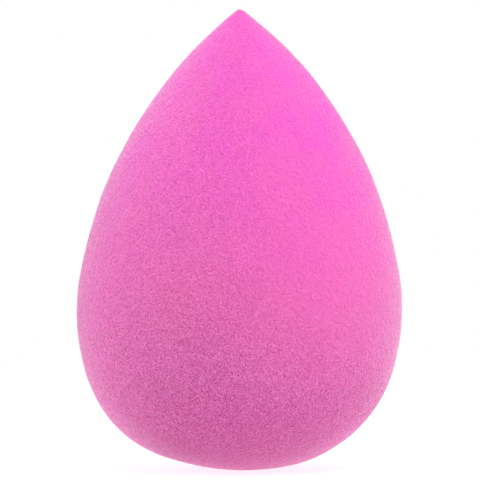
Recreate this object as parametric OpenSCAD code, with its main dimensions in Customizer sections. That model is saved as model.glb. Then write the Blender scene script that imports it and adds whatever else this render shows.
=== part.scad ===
// Makeup sponge: one piece of soft open-cell foam, ground to a teardrop of round section.
// The origin is the middle of the resting face, and +Z points to the tip. Millimetres.

/* [Foam body] */
// Height from the resting face to the tip, dry
body_h = 60; // [55:0.5:65]
// Diameter of the belly, the widest place, dry
body_d = 42.4; // [39:0.2:46]
// Height of the belly above the resting face
belly_h = 20.7; // [19:0.1:23]

/* [Curves of the outline] */
// Radius of the rounded tip
tip_r = 0.8; // [0.4:0.1:1.6]
// Radius of the long flank between the tip and the belly
flank_r = 54.6; // [50:0.2:62]
// Radius of the belly
belly_r = 29.7; // [27:0.1:33]
// Radius of the shoulder that turns the belly under
shoulder_r = 17.2; // [15:0.1:19]
// Radius of the dome underneath
dome_r = 24.5; // [23:0.1:28]

/* [Resting face] */
// Depth cut off the dome, so that the sponge stands by itself
base_cut = 0.5; // [0.2:0.05:0.9]

/* [Hidden] */
// Facets in a full circle, for the preview
$fn = 180;
foam_pink = [0.93, 0.43, 0.76];

// Where two circles meet. side is 1 for the place on the left of the way from the first
// middle to the second, and -1 for the place on its right.
function meeting(c1, r1, c2, r2, side) =
    let (way = c2 - c1, apart = norm(way), ahead = way / apart)
    let (along = (r1^2 - r2^2 + apart^2) / (2 * apart), off = sqrt(r1^2 - along^2))
    c1 + along * ahead + side * off * [-ahead.y, ahead.x];

// Where a circle touches a larger one from inside
function touching(outer_c, inner_c, inner_r) =
    inner_c + inner_r * (inner_c - outer_c) / norm(inner_c - outer_c);

// Middles of the five arcs of the half outline, as distance from the axis and height. The tip
// and the dome sit on the axis, and each arc runs on into the next without a corner.
tip_c = [0, body_h - tip_r];
belly_c = [body_d / 2 - belly_r, belly_h];
dome_c = [0, dome_r - base_cut];
flank_c = meeting(belly_c, flank_r - belly_r, tip_c, flank_r - tip_r, 1);
shoulder_c = meeting(belly_c, belly_r - shoulder_r, dome_c, dome_r - shoulder_r, -1);

// Heights where one arc hands over to the next, from the dome up
dome_top = touching(dome_c, shoulder_c, shoulder_r).y;
shoulder_top = touching(belly_c, shoulder_c, shoulder_r).y;
belly_top = touching(flank_c, belly_c, belly_r).y;
flank_top = touching(flank_c, tip_c, tip_r).y;

// The part of a disc beside the axis, between two heights
module disc_band(middle, r, low, high) {
    intersection() {
        translate(middle) circle(r = r);
        translate([0, low]) square([body_d, high - low]);
    }
}

// Half of the outline before the resting face is cut
module whole_outline() {
    disc_band(dome_c, dome_r, -base_cut, dome_top);
    disc_band(shoulder_c, shoulder_r, dome_top, shoulder_top);
    disc_band(belly_c, belly_r, shoulder_top, belly_top);
    disc_band(flank_c, flank_r, belly_top, flank_top);
    disc_band(tip_c, tip_r, flank_top, body_h);
}

module foam_body() {
    color(foam_pink) rotate_extrude() difference() {
        whole_outline();
        translate([0, -base_cut]) square([body_d, base_cut]);
    }
}

foam_body();
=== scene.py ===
# Makeup sponge: a teardrop of fine soft foam, ground to shape, standing on its domed end.
# Lengths are in metres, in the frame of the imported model, where +Z points to the tip.
import math
import bpy
import numpy as np
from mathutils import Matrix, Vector, kdtree


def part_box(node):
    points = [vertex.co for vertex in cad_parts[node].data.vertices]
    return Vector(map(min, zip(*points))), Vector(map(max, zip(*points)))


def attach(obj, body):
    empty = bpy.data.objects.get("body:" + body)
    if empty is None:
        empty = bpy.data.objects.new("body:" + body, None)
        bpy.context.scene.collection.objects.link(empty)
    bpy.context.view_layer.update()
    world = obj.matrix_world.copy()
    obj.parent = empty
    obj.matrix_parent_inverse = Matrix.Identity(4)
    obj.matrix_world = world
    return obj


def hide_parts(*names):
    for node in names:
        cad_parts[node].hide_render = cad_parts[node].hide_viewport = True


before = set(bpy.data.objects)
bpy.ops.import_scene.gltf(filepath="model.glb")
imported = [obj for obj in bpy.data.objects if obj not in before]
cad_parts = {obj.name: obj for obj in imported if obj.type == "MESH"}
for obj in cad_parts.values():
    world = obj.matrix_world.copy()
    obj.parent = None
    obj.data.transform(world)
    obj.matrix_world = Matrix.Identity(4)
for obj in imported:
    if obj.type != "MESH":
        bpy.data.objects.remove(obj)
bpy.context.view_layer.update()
bodyLow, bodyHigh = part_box("foam_body")
mm = 0.001


# The sponge's outline, half of it, as five arcs that run on into each other without a corner

teardrop = {
    "height": bodyHigh.z - bodyLow.z,
    "halfWidth": (bodyHigh.x - bodyLow.x) / 2,
    "bellyHeight": 20.8 * mm,
    "tipRadius": 0.8 * mm,
    "flankRadius": 54.6 * mm,
    "bellyRadius": 29.0 * mm,
    "shoulderRadius": 17.0 * mm,
    "domeRadius": 31.0 * mm,
    "arcSteps": 400,
}


def meeting(mid1, r1, mid2, r2, side):  # where two circles meet: side 1 is left of the way to mid2, -1 right
    way = mid2 - mid1
    along = (r1**2 - r2**2 + abs(way)**2) / (2 * abs(way))
    off = math.sqrt(r1**2 - along**2)
    return mid1 + (along + side * off * 1j) * way / abs(way)


def touching(outerMid, innerMid, innerRadius):  # where a circle touches a larger one from inside
    return innerMid + innerRadius * (innerMid - outerMid) / abs(innerMid - outerMid)


def outlineCurve(t):  # share of the way from tip to base, with its distance from the axis and its height
    tip, belly, dome = t["tipRadius"], t["bellyRadius"], t["domeRadius"]
    flank, shoulder = t["flankRadius"], t["shoulderRadius"]
    tipMid = 1j * (t["height"] - tip)
    bellyMid = t["halfWidth"] - belly + 1j * t["bellyHeight"]
    domeMid = 1j * dome
    flankMid = meeting(bellyMid, flank - belly, tipMid, flank - tip, 1)
    shoulderMid = meeting(bellyMid, belly - shoulder, domeMid, dome - shoulder, -1)
    joins = [
        1j * t["height"],
        touching(flankMid, tipMid, tip),
        touching(flankMid, bellyMid, belly),
        touching(bellyMid, shoulderMid, shoulder),
        touching(domeMid, shoulderMid, shoulder),
        0j,
    ]
    arcs = []
    for mid, start, end in zip((tipMid, flankMid, bellyMid, shoulderMid, domeMid), joins, joins[1:]):
        turn = np.linspace(0, np.angle((end - mid) / (start - mid)), t["arcSteps"])
        arcs.append(mid + (start - mid) * np.exp(1j * turn))
    line = np.concatenate(arcs)
    along = np.concatenate([[0], np.cumsum(abs(np.diff(line)))])
    return along / along[-1], line.real, line.imag


# The foam body

foamBody = {
    "halvings": 8,               # each splits every face in four
    "lean": 0.009,               # sideways per height, as it was ground a little askew
    "tipBend": -0.26 * mm,       # the last of the tip bends back
    "tipBendFrom": 44 * mm,
    "baseTilt": 0.028,           # slope of the dome underneath
    "baseTiltTo": 3.5 * mm,
    "waves": [("broadWaves", 9 * mm, 0.20 * mm), ("fineWaves", 2.2 * mm, 0.03 * mm)],  # name, size, strength
    "pressed": 0.04 * mm,        # how far the soft dome gives where it rests
}
openCells = {
    "seed": 7,
    "apart": 0.34 * mm,          # no two middles are nearer to each other
    "radii": (0.14 * mm, 0.24 * mm),
    "depthShare": 0.5,           # of the cell's radius
}


def placesOf(piece):
    places = np.empty(len(piece.data.vertices) * 3, np.float32)
    piece.data.vertices.foreach_get("co", places)
    return places.reshape(-1, 3).astype(float)


def putPlaces(piece, places):
    piece.data.vertices.foreach_set("co", places.astype(np.float32).ravel())
    piece.data.update()


def evenBall(name, halvings):  # a ball of even four-sided faces, mapped as the six squares of a cube
    bpy.ops.object.select_all(action="DESELECT")
    bpy.ops.mesh.primitive_cube_add(size=2)
    ball = bpy.context.object
    ball.name = ball.data.name = name
    ball.data.uv_layers[0].name = "OFBake"
    bpy.ops.object.mode_set(mode="EDIT")
    bpy.ops.mesh.select_all(action="SELECT")
    bpy.ops.uv.smart_project(angle_limit=math.radians(66), island_margin=0.004, scale_to_bounds=True)
    for _ in range(halvings):
        bpy.ops.mesh.subdivide(number_cuts=1)
        bpy.ops.transform.tosphere(value=1)
    bpy.ops.object.mode_set(mode="OBJECT")
    return ball


def ontoOutline(piece):  # from the ball's middle outwards onto the outline, at even steps along it
    share, outward, height = outlineCurve(teardrop)
    places = placesOf(piece)
    places /= np.linalg.norm(places, axis=1)[:, None]
    level = np.arccos(places[:, 2].clip(-1, 1)) / math.pi
    flat = np.maximum(np.hypot(places[:, 0], places[:, 1]), 1e-9)
    reach = np.interp(level, share, outward) / flat
    across, inward = places[:, 0] * reach, places[:, 1] * reach
    putPlaces(piece, np.stack([across, inward, np.interp(level, share, height)], 1))


def groundByHand(piece, b):  # the small faults of a shape ground by hand
    places = placesOf(piece)
    height = places[:, 2]
    top = teardrop["height"]
    places[:, 0] += b["lean"] * (height - top / 2)
    bend = ((height - b["tipBendFrom"]) / (top - b["tipBendFrom"])).clip(0, 1)
    places[:, 0] += b["tipBend"] * bend**2
    low = (1 - height / b["baseTiltTo"]).clip(0, 1)
    places[:, 2] -= b["baseTilt"] * places[:, 0] * low**2 * (3 - 2 * low)
    putPlaces(piece, places)


def waved(piece, name, size, strength):
    waves = bpy.data.textures.new(name, "CLOUDS")
    waves.noise_scale = size
    waves.noise_depth = 1
    modifier = piece.modifiers.new(name, "DISPLACE")
    modifier.texture = waves
    modifier.texture_coords = "LOCAL"
    modifier.strength = strength
    modifier.mid_level = 0.5
    bpy.ops.object.modifier_apply(modifier=name)


def opened(piece, c):  # cells that the grinding cut open, as real pits, and how deep each point lies in one
    places = placesOf(piece)
    normals = np.empty(len(places) * 3, np.float32)
    piece.data.vertex_normals.foreach_get("vector", normals)
    tree = kdtree.KDTree(len(places))
    for index, place in enumerate(places):
        tree.insert(place, index)
    tree.balance()
    draw = np.random.default_rng(c["seed"])
    radii = draw.uniform(*c["radii"], len(places))
    taken = np.zeros(len(places), bool)
    depth = np.zeros(len(places))
    count = 0
    for middle in draw.permutation(len(places)):
        if taken[middle]:
            continue
        count += 1
        for _, index, apart in tree.find_range(places[middle], c["apart"]):
            taken[index] = True
            depth[index] = max(depth[index], radii[middle] * (1 - (apart / radii[middle])**2))
    putPlaces(piece, places - normals.reshape(-1, 3) * (depth * c["depthShare"])[:, None])
    openness = piece.data.attributes.new("openCell", "FLOAT", "POINT")
    openness.data.foreach_set("value", (depth / c["radii"][1]).astype(np.float32))
    return count


def settled(piece, pressed):  # the foam rests on the floor, pressed flat where it touches
    places = placesOf(piece)
    low, high = places[:, 2].min() + pressed, places[:, 2].max()
    places[:, 2] = ((places[:, 2] - low) * teardrop["height"] / (high - low)).clip(0, None)
    putPlaces(piece, places)


def foamPiece():
    piece = evenBall("soft_foam", foamBody["halvings"])
    print("ball of", len(piece.data.polygons), "faces")
    ontoOutline(piece)
    groundByHand(piece, foamBody)
    for name, size, strength in foamBody["waves"]:
        waved(piece, name, size, strength)
    print("shaped to the teardrop")
    print("open cells:", opened(piece, openCells))
    settled(piece, foamBody["pressed"])
    bpy.ops.object.shade_smooth()
    return piece


# Finishes, as sums on the outputs of nodes

class Wire:  # a node's output, which can stand in a sum
    def __init__(self, finish, socket):
        self.finish, self.socket = finish, socket

    def __add__(self, other):
        return self.finish.sum("ADD", self, other)

    def __sub__(self, other):
        return self.finish.sum("SUBTRACT", self, other)

    def __rsub__(self, other):
        return self.finish.sum("SUBTRACT", other, self)

    def __mul__(self, other):
        return self.finish.sum("MULTIPLY", self, other)

    __radd__, __rmul__ = __add__, __mul__


class Finish:
    def __init__(self, tree):
        self.tree = tree
        tree.nodes.clear()

    def node(self, kind, settings={}, sockets={}, output=0):
        made = self.tree.nodes.new("ShaderNode" + kind)
        for name, value in settings.items():
            setattr(made, name, value)
        for name, value in sockets.items():
            if isinstance(value, Wire):
                self.tree.links.new(value.socket, made.inputs[name])
            else:
                made.inputs[name].default_value = value
        return Wire(self, made.outputs[output]) if made.outputs else made

    def sum(self, operation, a, b):
        return self.node("Math", {"operation": operation}, {0: a, 1: b})

    def eased(self, value, start, end, low=0.0, high=1.0):  # from low at start to high at end
        places = {"Value": value, "From Min": start, "From Max": end, "To Min": low, "To Max": high}
        return self.node("MapRange", {"interpolation_type": "SMOOTHSTEP"}, places)

    def blended(self, factor, a, b):  # two colours
        return self.node("Mix", {"data_type": "RGBA"}, {0: factor, 6: a, 7: b}, 2)


def materialFor(name):
    material = bpy.data.materials.new(name)
    material.use_nodes = True
    return material, Finish(material.node_tree)


foamLook = {
    # painted shade: the base's darker pink
    "shadedFootPink": (0.815, 0.084, 0.456, 1),
    "bellyPink": (0.83, 0.130, 0.476, 1),
    "highlightTipPink": (0.84, 0.095, 0.552, 1),
    "palePink": (0.97, 0.330, 0.71, 1),
    # painted shade: the dark pink that the hollows of the open cells and pits get, as they lie in shade
    "poreShadePink": (0.50, 0.001, 0.170, 1),
    "roseDrift": (0.85, 0.135, 0.480, 1),
    "warmPink": (0.85, 0.145, 0.430, 1),
    "warmSpots": [               # middle and reach in mm, and how warm
        ((-7.8, -19.7, 22.5), 9, 0.6),
        ((4.5, -20.7, 20.5), 6, 0.25),
        ((3, 20.8, 24), 10, 0.5),
    ],
    "tipHeights": (20, 46),      # mm, where the belly's pink turns into the tip's more magenta pink, a painted highlight tint
    "footHeights": (14, 3),
    "driftPerMm": 0.16,
    "drift": (0.38, 0.62, 0.0, 0.5),
    "swirlPerMm": 2.2,
    "swirl": 0.35,               # mm, how far it pulls the cells out of their rows
    "cellsPerMm": 6.0,
    "cellEdge": (0.50, 0.08),    # how the painted shade of a cell grows from its wall to its middle
    "cellsAlike": 0.66,          # how much painted shade most cells get
    "cellsDeeper": 0.85,         # and by how much more a few of them get
    "cellShade": 1.25,
    "pitShade": 0.1,
    "grainPerMm": 8.0,
    "grainPale": (0.42, 0.68),
    "cellsShow": 0.62,           # how strong the cells and the grain show
    "calmUpward": 0.005,         # weaker by this for each mm of height, painted light: the lit top shows the cells less
    "calmSide": (14, 0.32),      # weaker by this so many mm to the right, and stronger to the left, painted light: the lit right shows the cells less than the shaded left
    "calmSideFrom": (4, -10),    # only in front, so it grows between these places in mm along Y
    "shadeStrongerBelow": (28, 1.25),  # stronger from this height in mm down, by this at the base, as painted shade on the lower part
    "roughness": (0.82, 0.96),   # of the low and the high grain
    "shine": 0.1,
    "sheen": 1.0,
    "sheenRoughness": 0.33,
    "sheenTint": (1, 0.88, 0.96, 1),
    "scatter": 0.18,
    "scatterReach": 1.2 * mm,
    "scatterColours": (1.0, 0.35, 0.65),
    "bumpDepth": 0.05 * mm,
    "grainBump": 0.55,           # of a cell's
}


def softFoam(look):
    material, foam = materialFor("softFoam")
    place = foam.node("TexCoord", output="Object")
    inMm = foam.node("Mapping", sockets={"Vector": place, "Scale": (1 / mm,) * 3})
    drift = foam.node("TexNoise", sockets={"Vector": inMm, "Scale": look["driftPerMm"], "Detail": 2})
    swirl = {"Vector": inMm, "Scale": look["swirlPerMm"], "Detail": 1}
    swirl = foam.node("TexNoise", sockets=swirl, output="Color")
    pull = (look["swirl"],) * 3
    bent = foam.node("VectorMath", {"operation": "MULTIPLY_ADD"}, {0: swirl, 1: pull, 2: inMm})
    cells = foam.node("TexVoronoi", sockets={"Vector": bent, "Scale": look["cellsPerMm"]})
    chance = foam.node("TexVoronoi", sockets={"Vector": bent, "Scale": look["cellsPerMm"]}, output="Color")
    chance = foam.node("SeparateColor", sockets={"Color": chance})
    present = look["cellsAlike"] + chance * chance * chance * chance * look["cellsDeeper"]
    cell = foam.eased(cells, *look["cellEdge"]) * present
    grain = {"Vector": inMm, "Scale": look["grainPerMm"], "Detail": 1, "Roughness": 0.7}
    grain = foam.node("TexNoise", sockets=grain)
    cut = foam.node("Attribute", {"attribute_name": "openCell"}, output="Fac")
    across = foam.node("SeparateXYZ", sockets={"Vector": inMm})
    inward = foam.node("SeparateXYZ", sockets={"Vector": inMm}, output="Y")
    upward = foam.node("SeparateXYZ", sockets={"Vector": inMm}, output="Z")
    # Painted light: the cells and grain show more where the sponge lies in shade, low and to the left, and
    # less on the lit top and right
    high, shadeBoost = look["shadeStrongerBelow"]
    strength = look["cellsShow"] + foam.eased(upward, high, 0.0, 0.0, shadeBoost)
    aside, calmer = look["calmSide"]
    calm = foam.eased(across, -aside, aside, -calmer, calmer) * foam.eased(inward, *look["calmSideFrom"])
    strength = strength - upward * look["calmUpward"] - calm
    times = {"operation": "MULTIPLY", "use_clamp": True}
    # Painted shade: the cells and the real pits are darkened towards the pore shade colour
    pore = foam.node("Math", times, {0: cell * look["cellShade"] + cut * look["pitShade"], 1: strength})
    pale = foam.node("Math", times, {0: foam.eased(grain, *look["grainPale"]), 1: strength})

    # Painted light: the top is tinted more magenta, as lit pink looks, and the base darker, as shaded pink
    # looks
    base = foam.blended(foam.eased(upward, *look["tipHeights"]), look["bellyPink"], look["highlightTipPink"])
    base = foam.blended(foam.eased(upward, *look["footHeights"]), base, look["shadedFootPink"])
    base = foam.blended(foam.eased(drift, *look["drift"]), base, look["roseDrift"])
    for middle, reach, warmth in look["warmSpots"]:
        apart = foam.node("VectorMath", {"operation": "DISTANCE"}, {0: inMm, 1: middle}, "Value")
        base = foam.blended(foam.eased(apart, reach, 0.0, 0.0, warmth), base, look["warmPink"])
    base = foam.blended(pale, base, look["palePink"])
    base = foam.blended(pore, base, look["poreShadePink"])
    height = grain * look["grainBump"] - cell
    bump = foam.node("Bump", sockets={"Strength": 1.0, "Distance": look["bumpDepth"], "Height": height})
    skin = foam.node("BsdfPrincipled", sockets={
        "Base Color": base,
        "Roughness": foam.eased(grain, 0.3, 0.7, *look["roughness"]),
        "Normal": bump,
        "Specular IOR Level": look["shine"],
        "Sheen Weight": look["sheen"],
        "Sheen Roughness": look["sheenRoughness"],
        "Sheen Tint": look["sheenTint"],
        "Subsurface Weight": look["scatter"],
        "Subsurface Radius": look["scatterColours"],
        "Subsurface Scale": look["scatterReach"],
    })
    foam.node("OutputMaterial", sockets={"Surface": skin})
    return material


# The floor, lamps and camera

stage = {
    "floorRadius": 4.0,
    "floorGrey": 0.70,
    "glow": 0.58,                # of the floor patch under the sponge, which glows to light it from below
    "glowFrom": 0.007,           # these and the next are distances from the axis
    "glowTo": 0.019,
    "sideGlow": 1.20,               # of the floor at both sides, which glows to light the sponge's low sides in place of white cards
    "sideGlowFrom": 0.006,
    "sideGlowTo": 0.020,
    "sideGlowFront": (-0.012, 0.004),  # places along Y
    "sideGlowBack": (0.030, 0.014),
    "sideGlowFadeFrom": 0.018,
    "sideGlowFadeTo": 0.060,
    "seenGrey": 0.40,
    "seenGlow": 0.78,            # the two together read white, and in the sponge's shadow a little less
    "fadeFrom": 0.08,            # past this the shadow fades out
    "fadeTo": 0.30,
    "ambient": 0.615,            # how strong the white room lights the sponge
}


def glowing(pale, grey, glow):
    lit = pale.node("BsdfDiffuse", sockets={"Color": (grey,) * 3 + (1,)})
    own = pale.node("Emission", sockets={"Strength": glow})
    return pale.node("AddShader", sockets={0: lit, 1: own})


def paleFloor():
    bpy.ops.mesh.primitive_circle_add(vertices=96, radius=stage["floorRadius"], fill_type="NGON")
    floor = bpy.context.object
    floor.name = "floor"
    material, pale = materialFor("paleFloor")
    rays = pale.node("LightPath")
    path = rays.socket.node.outputs
    seen = pale.node("Math", {"operation": "MAXIMUM"}, {
        0: Wire(pale, path["Is Camera Ray"]),
        1: Wire(pale, path["Is Glossy Ray"]),
    })
    seen = pale.node("Math", {"operation": "MAXIMUM"}, {0: seen, 1: Wire(pale, path["Is Transmission Ray"])})
    place = pale.node("TexCoord", output="Object")
    away = pale.node("VectorMath", {"operation": "LENGTH"}, {0: place}, "Value")
    # Glowing floor, no lamp: a patch under the sponge and patches at its sides send light onto its underside
    # and low sides
    under = pale.eased(away, stage["glowFrom"], stage["glowTo"], stage["glow"], 0.0)
    behind = pale.node("SeparateXYZ", sockets={"Vector": place}, output="Y")
    sideGlow = pale.eased(away, stage["sideGlowFrom"], stage["sideGlowTo"], 0.0, stage["sideGlow"])
    sideGlow = sideGlow * pale.eased(away, stage["sideGlowFadeFrom"], stage["sideGlowFadeTo"], 1.0, 0.0)
    sideGlow = sideGlow * pale.eased(behind, *stage["sideGlowFront"]) * pale.eased(behind, *stage["sideGlowBack"])
    lit = glowing(pale, stage["floorGrey"], under + sideGlow)
    shown = glowing(pale, stage["seenGrey"], stage["seenGlow"])
    white = pale.node("Emission", sockets={"Strength": 1.0})
    far = pale.eased(away, stage["fadeFrom"], stage["fadeTo"])
    shown = pale.node("MixShader", sockets={0: far, 1: shown, 2: white})
    both = pale.node("MixShader", sockets={0: seen, 1: lit, 2: shown})
    pale.node("OutputMaterial", sockets={"Surface": both})
    floor.data.materials.append(material)


def whiteRoom():
    world = bpy.data.worlds.new("whiteRoom")
    world.use_nodes = True
    room = Finish(world.node_tree)
    path = room.node("LightPath").socket.node.outputs
    seen = room.node("Math", {"operation": "MAXIMUM"}, {
        0: Wire(room, path["Is Camera Ray"]),
        1: Wire(room, path["Is Glossy Ray"]),
    })
    seen = room.node("Math", {"operation": "MAXIMUM"}, {0: seen, 1: Wire(room, path["Is Transmission Ray"])})
    strength = room.eased(seen, 0.0, 1.0, stage["ambient"], 1.0)
    light = room.node("Background", sockets={"Color": (1, 1, 1, 1), "Strength": strength})
    room.node("OutputWorld", sockets={"Surface": light})
    bpy.context.scene.world = world


lamps = [  # name, bearing to the right of the camera's side, climb, distance, width, watts
    ("keySoftbox", 35, 60, 0.60, 0.40, 2.42),
    ("leftSoftbox", -105, 12, 0.60, 0.40, 1.78),
    ("rightSoftbox", 86, 6, 0.60, 0.40, 1.05),
]


def softbox(name, bearing, climb, distance, width, watts):
    a, e = math.radians(bearing), math.radians(climb)
    towards = Vector((math.sin(a) * math.cos(e), -math.cos(a) * math.cos(e), math.sin(e)))
    lamp = bpy.data.lights.new(name, "AREA")
    lamp.size, lamp.energy = width, watts
    holder = bpy.data.objects.new(name, lamp)
    holder.location = towards * distance + Vector((0, 0, teardrop["height"] / 2))
    holder.rotation_euler = towards.to_track_quat("Z", "Y").to_euler()
    bpy.context.scene.collection.objects.link(holder)


photograph = {
    "pixels": 480,
    "tipRow": 9.6,
    "baseRow": 469.5,
    "distance": 0.62,
    "climb": 1.0,                # degrees above the level
}


def productCamera(p):
    metresPerPixel = teardrop["height"] / (p["baseRow"] - p["tipRow"])
    lens = bpy.data.cameras.new("productCamera")
    lens.lens = lens.sensor_width * p["distance"] / (metresPerPixel * p["pixels"])
    lens.clip_start, lens.clip_end = 0.01, 20
    camera = bpy.data.objects.new("productCamera", lens)
    aim = Vector((0, 0, (p["baseRow"] - p["pixels"] / 2) * metresPerPixel))
    e = math.radians(p["climb"])
    back = Vector((0, -math.cos(e), math.sin(e)))
    camera.location = aim + back * p["distance"]
    camera.rotation_euler = back.to_track_quat("Z", "Y").to_euler()
    bpy.context.scene.collection.objects.link(camera)
    bpy.context.scene.camera = camera


foam = foamPiece()
foam.data.materials.append(softFoam(foamLook))
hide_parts("foam_body")
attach(foam, "root")
print("foam finished")

paleFloor()
whiteRoom()
for lampRow in lamps:
    softbox(*lampRow)
productCamera(photograph)
bpy.context.scene.view_settings.view_transform = "Standard"
print("stage, lamps and camera set")
